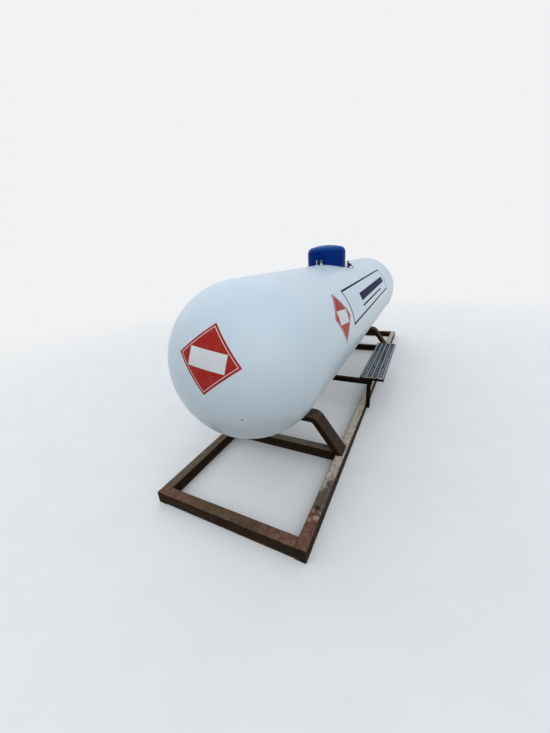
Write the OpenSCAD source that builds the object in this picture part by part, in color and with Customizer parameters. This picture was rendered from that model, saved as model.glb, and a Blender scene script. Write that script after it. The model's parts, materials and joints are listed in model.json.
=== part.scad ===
/* [Pressure tank] */
// Outside diameter of the tank
tank_d = 1041; // [700:1:1400]
// Overall length of the tank over both heads
tank_l = 4870; // [3600:10:7000]
// Thickness of the shell plate
shell_t = 7; // [4:0.5:14]
// Thickness of the pressed heads
head_t = 5; // [3:0.5:7]
// Straight flange on each head, before the girth weld
head_flange = 12; // [5:1:50]
// How much larger the radius of a head's crown is than the tank's own radius
head_crown_extra = 40; // [20:1:120]
// How much smaller the radius of a head's knuckle is than the tank's own radius
head_knuckle_less = 70; // [30:1:150]
// Height of the tank's axis above the floor
axis_h = 986; // [950:1:1300]
// How far the tank sits from the middle of the skid, towards its near end
tank_back = 46; // [0:1:120]

/* [Skid] */
// Overall length of the skid
skid_l = 4990; // [4400:10:7200]
// Overall width of the skid over both runners
skid_w = 1136; // [1000:1:1500]
// Width of a runner and of the cross tubes
runner_w = 76; // [60:1:120]
// Height of a runner and of the cross tubes
runner_h = 95; // [70:1:130]
// Wall thickness of every skid tube
tube_t = 5; // [3:0.5:8]
// Outside corner radius of every skid tube
tube_r = 10; // [8.5:0.5:16]
// Diameter of the earthing hole in the right runner
earth_hole_d = 16; // [8:1:24]
// Distance of the earthing hole from the near end of the runner
earth_hole_in = 300; // [150:1:600]

/* [Saddle frames] */
// Distance between the two saddle frames, centre to centre
saddle_pitch = 3030; // [2200:10:3500]
// Width of a saddle member, measured along the tank
saddle_w = 152; // [100:1:220]
// Thickness of a saddle member
saddle_t = 50; // [35:1:70]
// Clear height between the top of a saddle beam and the tank's belly
belly_gap = 65.5; // [50:0.5:110]
// Half width of a saddle frame at its knees
knee_x = 325; // [250:1:380]
// Outside radius of the bend at a knee
knee_r = 90; // [75:1:120]
// Distance from the outer side of a runner to the foot of a leg
foot_inset = 24; // [10:1:50]

/* [Tank feet] */
// Thickness of the curved wear pads under the tank
pad_t = 8; // [5:0.5:14]
// Width of a wear pad, measured along the tank
pad_w = 190; // [140:1:260]
// Half angle that a wear pad wraps round the tank, in degrees
pad_half_angle = 31; // [25:1:34]
// Distance of each tank foot from the middle of the saddle beam
tank_foot_x = 165; // [110:1:190]
// Width of a tank foot across the tank
tank_foot_w = 90; // [60:1:110]
// Length of a tank foot along the tank
tank_foot_l = 120; // [80:1:140]
// Thickness of the plates of a tank foot
tank_foot_t = 8; // [6:0.5:12]
// Diameter of the bolt holes in the base of a tank foot
foot_bolt_d = 18; // [12:1:22]

/* [Side step] */
// Length of the grip plank
plank_l = 1237; // [800:1:1600]
// Width of the grip plank
plank_w = 230; // [180:1:300]
// Depth of the plank's turned-down sides
plank_depth = 31; // [22:1:50]
// Sheet thickness of the plank
plank_t = 2.5; // [1.5:0.1:4]
// Width of the lip at the bottom of each turned-down side
plank_lip = 16; // [8:1:30]
// Clear height between the top of a step arm and the tank's belly
arm_gap = 80.5; // [66:0.5:140]
// Width and height of the step arms
arm_w = 50; // [40:1:60]
// Wall thickness of the step arms and posts
arm_t = 4; // [2.5:0.5:6]
// Width of the square step posts
post_w = 40; // [34:1:50]
// Height of the bottom of the posts above the floor
post_low = 68; // [20:1:80]
// Leg of the angle that carries each end of the plank
angle_leg = 25; // [20:1:30]
// Thickness of that angle
angle_t = 4; // [3:0.5:6]
// How far the plank reaches out past the runner
step_reach = 162; // [130:1:220]
// How far the middle of the step is from the middle of the skid, towards its near end
step_back = 111; // [0:1:250]
// Rows of grip openings across the plank
grip_rows = 4; // [3:1:5]
// Pitch of the grip openings along the plank
grip_pitch = 47; // [40:1:70]
// Length of one grip opening
grip_len = 36; // [24:1:39]
// Width of one grip opening
grip_wide = 40; // [26:1:42]
// Flat land left at each side of the plank, outside the openings
grip_land = 11; // [8:1:16]
// Depth of the rim that is pressed down round each opening
grip_rim = 8; // [5:0.5:12]
// Height of the serrated ribs between the rows
rib_h = 5; // [3:0.5:8]
// Depth of the notches in a rib
rib_notch = 3; // [1.5:0.5:3]
// Pitch of the notches along a rib
rib_pitch = 15; // [12:0.5:24]

/* [Valve hood] */
// Outside diameter of the hood
hood_d = 404; // [340:1:460]
// Height of the hood above the top of the tank
hood_h = 194; // [175:1:260]
// Sheet thickness of the hood
hood_t = 3; // [2:0.5:5]
// Radius of the rounded shoulder of the hood
hood_knuckle = 60; // [35:1:75]
// Radius of the hood's crown
hood_crown = 600; // [450:5:900]
// How far the hood sits from the middle of the tank, towards its near end
hood_back = 195; // [0:1:400]
// Distance from the hood's side to its hinge axis
hinge_out = 16; // [15:0.5:24]
// Height of the hinge axis above the tank's surface below it
hinge_up = 14; // [13:0.5:20]
// Radius of the hinge pin
hinge_pin_r = 5; // [3:0.5:6]
// Outside radius of the hinge knuckles
hinge_knuckle_r = 8; // [7:0.5:9]
// Length of the hood's own hinge knuckle
hinge_mid_l = 56; // [40:1:90]
// Length of each fixed hinge knuckle
hinge_ear_l = 22; // [14:1:30]

/* [Lifting lugs] */
// Height of a lifting lug above the tank
lug_h = 50; // [45:1:90]
// Length of a lug plate along the tank
lug_l = 58; // [45:1:75]
// Thickness of a lug plate
lug_t = 8; // [7:0.5:12]
// Clear distance between the two plates of a lug
lug_gap = 32; // [26:1:60]
// Diameter of the bar that joins the two plates
lug_bar_d = 12; // [10:1:16]
// Height of that bar's axis above the tank
lug_bar_h = 31; // [26:1:36]
// Distance from the hood's side to the near edge of a lug
lug_off = 16; // [10:1:120]

/* [Fittings under the hood] */
// Height of the welded couplings above the tank
coupling_h = 12; // [8:1:20]
// Height of a fitting's hexagon
hex_h = 16; // [10:1:22]
// Radius of the filling connection's coupling
fill_coupling_r = 30; // [26:1:36]
// Radius of its hexagon over the corners
fill_hex_r = 27; // [24:1:32]
// Radius of its neck
fill_neck_r = 21; // [16:1:24]
// Height of its neck
fill_neck_h = 22; // [14:1:30]
// Radius of its cap
fill_cap_r = 29; // [25:1:33]
// Height of its cap
fill_cap_h = 24; // [16:1:32]
// Radius of the relief valve's coupling
relief_coupling_r = 32; // [28:1:38]
// Radius of its hexagon over the corners
relief_hex_r = 31; // [28:1:34]
// Radius of its body
relief_body_r = 25; // [20:1:27]
// Height of its body
relief_body_h = 46; // [30:1:60]
// Radius of its rain cap
relief_cap_r = 28; // [26:1:34]
// Height of its rain cap
relief_cap_h = 8; // [5:1:14]
// Bevel on top of the caps
cap_bevel = 5; // [2:0.5:7]
// Radius of the service valve's coupling
service_coupling_r = 22; // [19:1:28]
// Radius of its body
service_body_r = 17; // [14:1:19]
// Height of its body
service_body_h = 30; // [26:1:40]
// Radius of its bonnet over the corners
bonnet_r = 12; // [9:1:15]
// Height of its bonnet
bonnet_h = 12; // [8:1:18]
// Radius of its stem
stem_r = 5; // [3:0.5:7]
// Reach of its side outlet from its middle
outlet_l = 28; // [22:1:36]
// Radius of its side outlet
outlet_r = 10; // [7:1:12]
// Depth of that outlet below the top of its body
outlet_down = 2; // [1:0.5:5]
// Radius of the nut on that outlet, over the corners
nut_r = 14; // [12:1:17]
// Length of that nut
nut_l = 14; // [8:1:20]
// Radius of its handwheel
wheel_r = 24; // [20:1:30]
// Thickness of its handwheel
wheel_h = 12; // [8:1:16]
// Radius of the eight flutes in the handwheel's rim
flute_r = 6; // [4:0.5:8]
// Radius of the gauge's coupling
gauge_coupling_r = 34; // [30:1:40]
// Width of the gauge's square flange
flange_w = 54; // [48:1:60]
// Thickness of that flange
flange_h = 9; // [6:0.5:14]
// Distance of its screws from the gauge's middle, each way
screw_at = 20; // [17:0.5:21]
// Radius of a screw's head over the corners
screw_r = 5; // [3.5:0.5:6]
// Height of a screw's head
screw_h = 5; // [3:0.5:6]
// Radius of the gauge's dial
dial_r = 24; // [18:1:26]
// Height of the dial's case
dial_h = 14; // [8:1:20]
// Radius of the vapour connection's coupling
vapour_coupling_r = 24; // [21:1:30]
// Radius of its hexagon over the corners
vapour_hex_r = 21; // [18:1:23]
// Radius of its neck
vapour_neck_r = 17; // [13:1:18]
// Height of its neck
vapour_neck_h = 12; // [8:1:20]
// Radius of its cap
vapour_cap_r = 22; // [18:1:25]
// Height of its cap
vapour_cap_h = 20; // [14:1:28]

/* [Side fitting] */
// Height of the side valve's axis above the tank
side_axis = 32; // [28:1:45]
// Radius of its body
side_body_r = 14; // [11:1:16]
// Length of its body along the tank's slope
side_body_l = 44; // [36:1:60]
// Radius of its riser
side_riser_r = 10; // [7:1:12]
// Radius of its riser's coupling
side_coupling_r = 17; // [14:1:22]
// Height of that coupling
side_coupling_h = 8; // [5:1:12]
// Radius of its outlet pipe
side_pipe_r = 5; // [3.5:0.5:6]
// How far the outlet's bend starts from the valve's middle
side_pipe_l = 38; // [32:1:50]
// Radius of the outlet's bend
side_bend_r = 13; // [9:1:13]
// Radius of its knob
side_knob_r = 13; // [10:1:16]
// Height of its knob
side_knob_h = 11; // [8:1:16]
// Radius of its knob's stem
side_stem_r = 4.5; // [3:0.5:6]
// Length of its knob's stem from the body's axis
side_stem_l = 28; // [24:1:36]
// Lean of its knob from upright, in degrees
side_lean = 52; // [30:1:60]

/* [Hidden] */
// Gap at seats between curved faces
seat_gap = 0.3;
// Gap at a butt seam between two plates, which the weld fills
seam_gap = 0.05;
// Radial running clearance of the hinge pin
pin_gap = 0.05;
// Side clearance between hinge knuckles
knuckle_gap = 1;
// Longer than any cut that it makes
far_past = 3000;
// Overlap that lets a cut run past a face
past = 1;

tank_r = tank_d / 2;
tank_y = -tank_back;
crown_r = tank_r + head_crown_extra;
knuckle_r = tank_r - head_knuckle_less;
crown_drop = sqrt(pow(crown_r - knuckle_r, 2) - pow(tank_r - knuckle_r, 2));
crown_angle = asin((tank_r - knuckle_r) / (crown_r - knuckle_r));
head_depth = crown_r - crown_drop;
shell_l = tank_l - 2 * (head_depth + head_flange);
course_l = shell_l / 3;
tank_top = axis_h + tank_r;
belly_z = axis_h - tank_r;
saddle_top = belly_z - belly_gap;
arm_top = belly_z - arm_gap;

half_w = skid_w / 2;
tie_l = skid_w - 2 * runner_w;
plank_out = half_w + step_reach;
plank_in = plank_out - plank_w;
plank_low = arm_top + angle_t;
plank_top = plank_low + plank_depth;
step_y = -step_back;
arm_y = plank_l / 2 + angle_t - arm_w / 2;
// The footprint's centre is the origin, so all is shifted by half of what the step adds
shift_x = -step_reach / 2;

foot_out = half_w - foot_inset;
leg_angle = atan2(saddle_top - runner_h, foot_out - knee_x);
bend_tangent = knee_r * tan(leg_angle / 2);
bend_x = knee_x - bend_tangent;
bend_z = saddle_top - knee_r;

hood_r = hood_d / 2;
hood_y = tank_y - hood_back;
hood_drop = sqrt(pow(hood_crown - hood_knuckle, 2) - pow(hood_r - hood_knuckle, 2));
hood_angle = asin((hood_r - hood_knuckle) / (hood_crown - hood_knuckle));
hood_cap_h = hood_crown - hood_drop;
hood_side_h = hood_h - hood_cap_h;
hinge_x = -(hood_r + hinge_out);
hinge_z = shell_height(hinge_x) + hinge_up;
bore_r = hinge_pin_r + pin_gap;
lug_y = hood_r + lug_off + lug_l / 2;

white_paint = "white";
brown_paint = [0.30, 0.20, 0.17];
blue_paint = [0.03, 0.12, 0.45];
zinc = [0.62, 0.66, 0.68];
brass_tone = [0.78, 0.62, 0.30];
steel_tone = [0.55, 0.55, 0.56];
dark_tone = [0.08, 0.08, 0.09];

$fn = 96;
// Facets of the tank's own curves in a preview
tank_fn = 360;

// Height of the tank's surface above the floor at a distance x from its axis
function shell_height(x) = axis_h + sqrt(tank_r * tank_r - x * x);

// Slope of the tank's surface at a distance x from its axis, in degrees
function shell_tilt(x) = asin(x / tank_r);

// Sets what is drawn about the skid's own middle into the part's frame
module placed() {
    translate([shift_x, 0, 0]) children();
}

// A solid rod along Y, centred on the tank's axis, that trims pieces to the tank's surface
module tank_cutter(extra = 0) {
    translate([0, far_past, axis_h])
        rotate([90, 0, 0])
            cylinder(r = tank_r + extra, h = 2 * far_past, $fn = tank_fn);
}

// The part of a ring between two radii that lies between two angles, measured from +Y towards +X
module ring_sector(r_out, r_in, a0, a1) {
    reach = 2 * r_out;
    intersection() {
        difference() {
            circle(r = r_out);
            circle(r = r_in);
        }
        polygon([
            [0, 0],
            [reach * sin(a0), reach * cos(a0)],
            [reach * sin((a0 + a1) / 2), reach * cos((a0 + a1) / 2)],
            [reach * sin(a1), reach * cos(a1)]
        ]);
    }
}

// Half region under a dished end, inset all round: crown, knuckle and a side down to the given depth
module dished_region(r, crown, knuckle, drop, angle, inset, low) {
    reach = 2 * crown;
    intersection() {
        union() {
            translate([0, -drop])
                intersection() {
                    circle(r = crown - inset);
                    polygon([[0, 0], [0, reach], [reach * sin(angle), reach * cos(angle)]]);
                }
            translate([r - knuckle, 0]) circle(r = knuckle - inset);
            translate([0, -low]) square([r - inset, low]);
        }
        translate([0, -low]) square([r, low + crown]);
    }
}

// A dished end turned about Z, with a straight side of the given length below its knuckle
module dished_end(r, crown, knuckle, drop, angle, thick, side) {
    rotate_extrude()
        difference() {
            dished_region(r, crown, knuckle, drop, angle, 0, side);
            dished_region(r, crown, knuckle, drop, angle, thick, side + past);
        }
}

// One dished head, with its flange at z = 0 and its crown towards +Z
module dished_head() {
    translate([0, 0, head_flange])
        dished_end(tank_r, crown_r, knuckle_r, crown_drop, crown_angle, head_t, head_flange);
}

// One rolled course of the shell, counted from the near end
module shell_course(index) {
    y_low = tank_y - shell_l / 2 + index * course_l;
    color(white_paint)
        placed()
            translate([0, y_low + seam_gap / 2, axis_h])
                rotate([-90, 0, 0])
                    difference() {
                        cylinder(r = tank_r, h = course_l - seam_gap);
                        translate([0, 0, -past]) cylinder(r = tank_r - shell_t, h = course_l + 2 * past);
                    }
}

// One head on the near (side = -1) or far (side = 1) end of the shell
module tank_head(side) {
    color(white_paint)
        placed()
            translate([0, tank_y + side * shell_l / 2, axis_h])
                rotate([-90 * side, 0, 0])
                    dished_head();
}

// Outline of a tube with rounded corners
module tube_outline(w, h, r) {
    for (x = [-w / 2 + r, w / 2 - r])
        for (y = [r, h - r])
            translate([x, y]) circle(r = r);
    translate([-w / 2 + r, 0]) square([w - 2 * r, h]);
    translate([-w / 2, r]) square([w, h - 2 * r]);
}

// A rectangular tube along Y, lying on z = 0, open at both ends
module open_tube(w, h, wall, r, length) {
    translate([0, length / 2, 0])
        rotate([90, 0, 0])
            linear_extrude(length)
                difference() {
                    tube_outline(w, h, r);
                    translate([0, wall]) tube_outline(w - 2 * wall, h - 2 * wall, r - wall);
                }
}

// A rectangular tube along Y with a cap set flush in each end
module capped_tube(w, h, wall, r, length) {
    difference() {
        translate([0, length / 2, 0])
            rotate([90, 0, 0])
                linear_extrude(length) tube_outline(w, h, r);
        translate([0, length / 2 - wall, wall])
            rotate([90, 0, 0])
                linear_extrude(length - 2 * wall) tube_outline(w - 2 * wall, h - 2 * wall, r - wall);
    }
}

// A runner on the left (side = -1) or right (side = 1) of the skid
module runner(side) {
    translate([side * (half_w - runner_w / 2), 0, 0])
        capped_tube(runner_w, runner_h, tube_t, tube_r, skid_l);
}

module left_runner() {
    color(brown_paint) placed() runner(-1);
}

// The right runner carries one drilled hole in its top wall for an earthing stud
module right_runner() {
    color(brown_paint)
        placed()
            difference() {
                runner(1);
                translate([half_w - runner_w / 2, earth_hole_in - skid_l / 2, runner_h - tube_t - past])
                    cylinder(d = earth_hole_d, h = tube_t + 2 * past);
            }
}

// A cross tube between the runners, with its middle at the given place along the skid
module cross_tube(y) {
    color(brown_paint)
        placed()
            translate([0, y, 0])
                rotate([0, 0, 90])
                    open_tube(runner_w, runner_h, tube_t, tube_r, tie_l);
}

function end_tube_y(side) = side * (skid_l - runner_w) / 2;

function saddle_y(side) = tank_y + side * saddle_pitch / 2;

// Straight middle part of a saddle beam
module saddle_beam(side) {
    color(brown_paint)
        placed()
            translate([0, saddle_y(side), saddle_top - saddle_t])
                rotate([0, 0, 90])
                    open_tube(saddle_w, saddle_t, tube_t, tube_r, 2 * bend_x - seam_gap);
}

// Cross-section of a saddle member, centred on its width, with its thickness along +Y
module saddle_section() {
    difference() {
        tube_outline(saddle_w, saddle_t, tube_r);
        translate([0, tube_t]) tube_outline(saddle_w - 2 * tube_t, saddle_t - 2 * tube_t, tube_r - tube_t);
    }
}

// One leg of a saddle frame: the tube bends round the knee and slopes down to the runner's top
module saddle_leg(side, hand) {
    slope_l = (bend_z + knee_r - runner_h) / sin(leg_angle);
    color(brown_paint)
        placed()
            translate([0, saddle_y(side), 0])
                mirror([hand < 0 ? 1 : 0, 0, 0])
                    difference() {
                        translate([bend_x, 0, bend_z])
                            rotate([0, leg_angle, 0]) {
                                rotate([90, -90, 0])
                                    rotate_extrude(angle = leg_angle)
                                        translate([knee_r - saddle_t, 0]) rotate([0, 0, -90]) saddle_section();
                                translate([0, 0, knee_r - saddle_t])
                                    rotate([90, 0, 90])
                                        linear_extrude(slope_l) saddle_section();
                            }
                        translate([0, -saddle_w, runner_h - saddle_top])
                            cube([skid_w, 2 * saddle_w, saddle_top]);
                    }
}

// Curved plate between the tank and what carries it
module belly_pad(y, width, half_angle) {
    translate([0, y + width / 2, axis_h])
        rotate([90, 0, 0])
            linear_extrude(width, $fn = tank_fn)
                ring_sector(tank_r + seat_gap + pad_t, tank_r + seat_gap, 180 - half_angle, 180 + half_angle);
}

module wear_pad(side) {
    color(white_paint) placed() belly_pad(saddle_y(side), pad_w, pad_half_angle);
}

// One bolted foot: a drilled base plate and two upright webs trimmed to the wear pad
module tank_foot() {
    foot_top = axis_h;
    bolt_y = tank_foot_l / 2 - 1.4 * foot_bolt_d;
    translate([0, 0, saddle_top])
        difference() {
            translate([-tank_foot_w / 2, -tank_foot_l / 2, 0])
                cube([tank_foot_w, tank_foot_l, tank_foot_t]);
            for (y = [-bolt_y, bolt_y])
                translate([0, y, -past]) cylinder(d = foot_bolt_d, h = tank_foot_t + 2 * past);
        }
    for (x = [-tank_foot_w / 2, tank_foot_w / 2 - tank_foot_t])
        translate([x, -tank_foot_l / 2, saddle_top + tank_foot_t])
            cube([tank_foot_t, tank_foot_l, foot_top - saddle_top]);
}

module tank_feet(side) {
    color(white_paint)
        placed()
            difference() {
                for (hand = [-1, 1])
                    translate([hand * tank_foot_x, saddle_y(side), 0]) tank_foot();
                tank_cutter(2 * seat_gap + pad_t);
            }
}

function arm_place(side) = step_y + side * arm_y;

// Step arm: a tube that runs from under the tank out over the runner's post
module step_arm(side) {
    arm_in = -arm_w / 2;
    arm_l = half_w + arm_w - arm_in;
    color(brown_paint)
        placed()
            translate([arm_in + arm_l / 2, arm_place(side), arm_top - arm_w])
                rotate([0, 0, 90])
                    capped_tube(arm_w, arm_w, arm_t, 2 * arm_t, arm_l);
}

// Post on the outer side of the right runner that carries a step arm
module step_post(side) {
    post_h = arm_top - arm_w - post_low;
    color(brown_paint)
        placed()
            translate([half_w + post_w / 2, arm_place(side) - post_w / 2, post_low])
                linear_extrude(post_h)
                    difference() {
                        tube_outline(post_w, post_w, 2 * arm_t);
                        translate([0, arm_t]) tube_outline(post_w - 2 * arm_t, post_w - 2 * arm_t, arm_t);
                    }
}

// Angle that lies on a step arm, closes the plank's end and carries it
module step_angle(side) {
    color(brown_paint)
        placed()
            translate([plank_out, step_y + side * (plank_l / 2 + angle_t), arm_top])
                mirror([0, side < 0 ? 0 : 1, 0])
                    rotate([90, 0, -90])
                        linear_extrude(plank_w)
                            polygon([
                                [0, 0], [0, angle_leg], [-angle_t, angle_leg],
                                [-angle_t, angle_t], [-angle_leg, angle_t], [-angle_leg, 0]
                            ]);
}

// Short hanger with a curved pad that ties a step arm to the tank's belly
module step_hanger(side) {
    half_angle = asin(1.6 * arm_w / tank_r);
    color(brown_paint)
        placed() {
            belly_pad(arm_place(side), 2 * arm_w, half_angle);
            difference() {
                translate([-arm_w / 2, arm_place(side) - arm_w / 2, arm_top])
                    cube([arm_w, arm_w, axis_h - arm_top]);
                translate([-arm_w / 2 + arm_t, arm_place(side) - arm_w / 2 + arm_t, arm_top - past])
                    cube([arm_w - 2 * arm_t, arm_w - 2 * arm_t, axis_h - arm_top]);
                tank_cutter(seat_gap + pad_t);
            }
        }
}

// How many openings a row of the plank holds, and the pitch between rows
grip_count = floor((plank_l - 2 * grip_land - grip_len) / grip_pitch) + 1;
grip_row_pitch = (plank_w - 2 * grip_land) / grip_rows;
grip_start = -(grip_count - 1) * grip_pitch / 2;
grip_x0 = -plank_w / 2 + grip_land;
// Share of an opening's sides that its blunt corners take
grip_blunt = 0.22;

// One diamond with blunt corners, as large as an opening and grown by the given amount all round
module grip_diamond(grow) {
    half_w = grip_wide / 2 + grow;
    half_l = grip_len / 2 + grow;
    polygon([
        [-half_w, -half_l * grip_blunt], [-half_w * grip_blunt, -half_l],
        [half_w * grip_blunt, -half_l], [half_w, -half_l * grip_blunt],
        [half_w, half_l * grip_blunt], [half_w * grip_blunt, half_l],
        [-half_w * grip_blunt, half_l], [-half_w, half_l * grip_blunt]
    ]);
}

// The diamonds of every opening in the plank, seen from above
module grip_pattern(grow) {
    for (row = [0:grip_rows - 1])
        for (i = [0:grip_count - 1])
            translate([grip_x0 + (row + 0.5) * grip_row_pitch, grip_start + i * grip_pitch])
                grip_diamond(grow);
}

// One serrated rib along the plank, standing on the sheet
module grip_rib() {
    count = floor(plank_l / rib_pitch);
    start = -count * rib_pitch / 2;
    rotate([90, 0, 90])
        translate([0, 0, -plank_t / 2])
            linear_extrude(plank_t)
                polygon(concat(
                    [[-plank_l / 2, -plank_t / 2], [-plank_l / 2, rib_h]],
                    [for (i = [0:count - 1]) each [
                        [start + (i + 0.3) * rib_pitch, rib_h],
                        [start + (i + 0.5) * rib_pitch, rib_h - rib_notch],
                        [start + (i + 0.7) * rib_pitch, rib_h]
                    ]],
                    [[plank_l / 2, rib_h], [plank_l / 2, -plank_t / 2]]
                ));
}

// One turned-down side of the plank with its lip
module plank_side() {
    translate([plank_w / 2, plank_l / 2, plank_low])
        rotate([90, 0, 0])
            linear_extrude(plank_l)
                polygon([
                    [0, 0], [0, plank_depth - plank_t], [-plank_t, plank_depth - plank_t],
                    [-plank_t, plank_t], [-plank_lip, plank_t], [-plank_lip, 0]
                ]);
}

// Pressed channel plank: rimmed grip openings in rows, with a serrated rib on each side of every row
module step_plank() {
    color(zinc)
        placed()
            translate([plank_out - plank_w / 2, step_y, 0]) {
                translate([0, 0, plank_top - plank_t])
                    linear_extrude(plank_t)
                        difference() {
                            square([plank_w, plank_l], center = true);
                            grip_pattern(0);
                        }
                translate([0, 0, plank_top - grip_rim])
                    linear_extrude(grip_rim - plank_t / 2)
                        difference() {
                            grip_pattern(plank_t);
                            grip_pattern(0);
                        }
                for (row = [0:grip_rows])
                    translate([grip_x0 + row * grip_row_pitch, 0, plank_top]) grip_rib();
                for (hand = [0, 1])
                    mirror([hand, 0, 0]) plank_side();
            }
}

// The hood before it is trimmed: crown, shoulder and a side that runs down past the tank's surface
module hood_shell() {
    side = hood_side_h + tank_top - shell_height(hood_r) + 2 * hood_knuckle;
    translate([0, 0, hood_side_h])
        dished_end(hood_r, hood_crown, hood_knuckle, hood_drop, hood_angle, hood_t, side);
}

module hood() {
    color(blue_paint)
        placed()
            difference() {
                translate([0, hood_y, tank_top]) hood_shell();
                tank_cutter(seat_gap);
            }
}

// Plate that joins the hood's side to its own hinge knuckle
module hood_hinge_strap() {
    strap_h = 3 * hinge_knuckle_r;
    color(blue_paint)
        placed()
            difference() {
                union() {
                    translate([hinge_x, hood_y + hinge_mid_l / 2, hinge_z])
                        rotate([90, 0, 0])
                            cylinder(r = hinge_knuckle_r, h = hinge_mid_l);
                    translate([hinge_x, hood_y - hinge_mid_l / 2, hinge_z])
                        cube([hinge_out, hinge_mid_l, hinge_knuckle_r]);
                    translate([-hood_r - hinge_knuckle_r / 2, hood_y - hinge_mid_l / 2, hinge_z])
                        cube([hinge_knuckle_r, hinge_mid_l, strap_h]);
                }
                translate([hinge_x, hood_y + hinge_mid_l, hinge_z])
                    rotate([90, 0, 0])
                        cylinder(r = bore_r, h = 2 * hinge_mid_l);
                translate([0, hood_y, hinge_z - strap_h])
                    cylinder(r = hood_r + seat_gap, h = 3 * strap_h);
            }
}

// Two fixed hinge knuckles on webs that stand on the tank
module hood_hinge_ears() {
    web_t = hinge_knuckle_r;
    color(white_paint)
        placed()
            difference() {
                for (hand = [-1, 1])
                    translate([hinge_x, hood_y + hand * (hinge_mid_l + hinge_ear_l + 2 * knuckle_gap) / 2, hinge_z]) {
                        translate([0, hinge_ear_l / 2, 0])
                            rotate([90, 0, 0])
                                cylinder(r = hinge_knuckle_r, h = hinge_ear_l);
                        translate([-hinge_knuckle_r - web_t, -hinge_ear_l / 2, -2 * hinge_up])
                            cube([web_t + hinge_knuckle_r, hinge_ear_l, 2 * hinge_up]);
                    }
                translate([hinge_x, hood_y + hinge_mid_l + hinge_ear_l, hinge_z])
                    rotate([90, 0, 0])
                        cylinder(r = bore_r, h = 2 * (hinge_mid_l + hinge_ear_l));
                tank_cutter(seat_gap);
            }
}

module hood_hinge_pin() {
    pin_l = hinge_mid_l + 2 * (knuckle_gap + hinge_ear_l);
    head_l = hinge_pin_r / 2;
    color(steel_tone)
        placed()
            translate([hinge_x, hood_y + pin_l / 2, hinge_z])
                rotate([90, 0, 0]) {
                    cylinder(r = hinge_pin_r, h = pin_l + head_l);
                    translate([0, 0, -head_l]) cylinder(r = 1.4 * hinge_pin_r, h = head_l);
                }
}

// Lifting lug: two upright plates trimmed to the tank, joined by a round bar
module lifting_lug(side) {
    y = hood_y + side * lug_y;
    crop = lug_t;
    color(white_paint)
        placed() {
            difference() {
                for (hand = [0, 1])
                    translate([0, y, 0])
                        mirror([hand, 0, 0])
                            translate([lug_gap / 2, 0, tank_top])
                                rotate([90, 0, 90])
                                    linear_extrude(lug_t)
                                        polygon([
                                            [-lug_l / 2, -crop], [lug_l / 2, -crop],
                                            [lug_l / 2, lug_h - crop], [lug_l / 2 - crop, lug_h],
                                            [-lug_l / 2 + crop, lug_h], [-lug_l / 2, lug_h - crop]
                                        ]);
                tank_cutter(seat_gap);
            }
            translate([-lug_gap / 2 - lug_t - lug_bar_d / 4, y, tank_top + lug_bar_h])
                rotate([0, 90, 0])
                    cylinder(d = lug_bar_d, h = lug_gap + 2 * lug_t + lug_bar_d / 2);
        }
}

// Places a fitting on the tank's surface, square to it, at x from the tank's axis and y from the hood's middle
module on_shell(x, y) {
    placed()
        translate([0, hood_y + y, axis_h])
            rotate([0, shell_tilt(x), 0])
                translate([0, 0, tank_r + seat_gap])
                    children();
}

// Places a fitting upright on the tank's surface, trimmed to it
module upright_on_shell(x, y) {
    placed()
        difference() {
            translate([x, hood_y + y, shell_height(x)]) children();
            tank_cutter(seat_gap);
        }
}

// A stack of turned steps, each given as [radius, height, sides], with 0 sides for a round one
module turned(steps, index = 0, z = 0) {
    if (index < len(steps)) {
        step = steps[index];
        translate([0, 0, z])
            if (step[2] > 0)
                cylinder(r = step[0], h = step[1], $fn = step[2]);
            else
                cylinder(r = step[0], h = step[1]);
        turned(steps, index + 1, z + step[1]);
    }
}

// Places of the fittings under the hood, across and along the tank from the hood's middle
fill_at = [62, -52];
relief_at = [30, 78];
service_at = [-84, 30];
gauge_at = [-45, -80];
vapour_at = [118, 38];
// How far a coupling runs down past the tank's surface, before it is trimmed
sunk = 30;

// Round coupling on the tank's surface, up to coupling_h
module coupling(r) {
    translate([0, 0, -sunk]) cylinder(r = r, h = sunk + coupling_h);
}

// Round cap with a bevelled top, standing on the given height
module bevelled_cap(r, h, z) {
    translate([0, 0, z]) {
        cylinder(r = r, h = h);
        translate([0, 0, h]) cylinder(r1 = r, r2 = r - cap_bevel, h = cap_bevel);
    }
}

// Filling connection: coupling, hexagon, neck and a bevelled cap
module fill_valve() {
    color(brass_tone)
        upright_on_shell(fill_at[0], fill_at[1]) {
            coupling(fill_coupling_r);
            translate([0, 0, coupling_h]) turned([[fill_hex_r, hex_h, 6], [fill_neck_r, fill_neck_h, 0]]);
            bevelled_cap(fill_cap_r, fill_cap_h, coupling_h + hex_h + fill_neck_h);
        }
}

// Spring relief valve: coupling, hexagon, tall body and a rain cap
module relief_valve() {
    color(brass_tone)
        upright_on_shell(relief_at[0], relief_at[1]) {
            coupling(relief_coupling_r);
            translate([0, 0, coupling_h]) turned([[relief_hex_r, hex_h, 6], [relief_body_r, relief_body_h, 0]]);
            bevelled_cap(relief_cap_r, relief_cap_h, coupling_h + hex_h + relief_body_h);
        }
}

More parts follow.
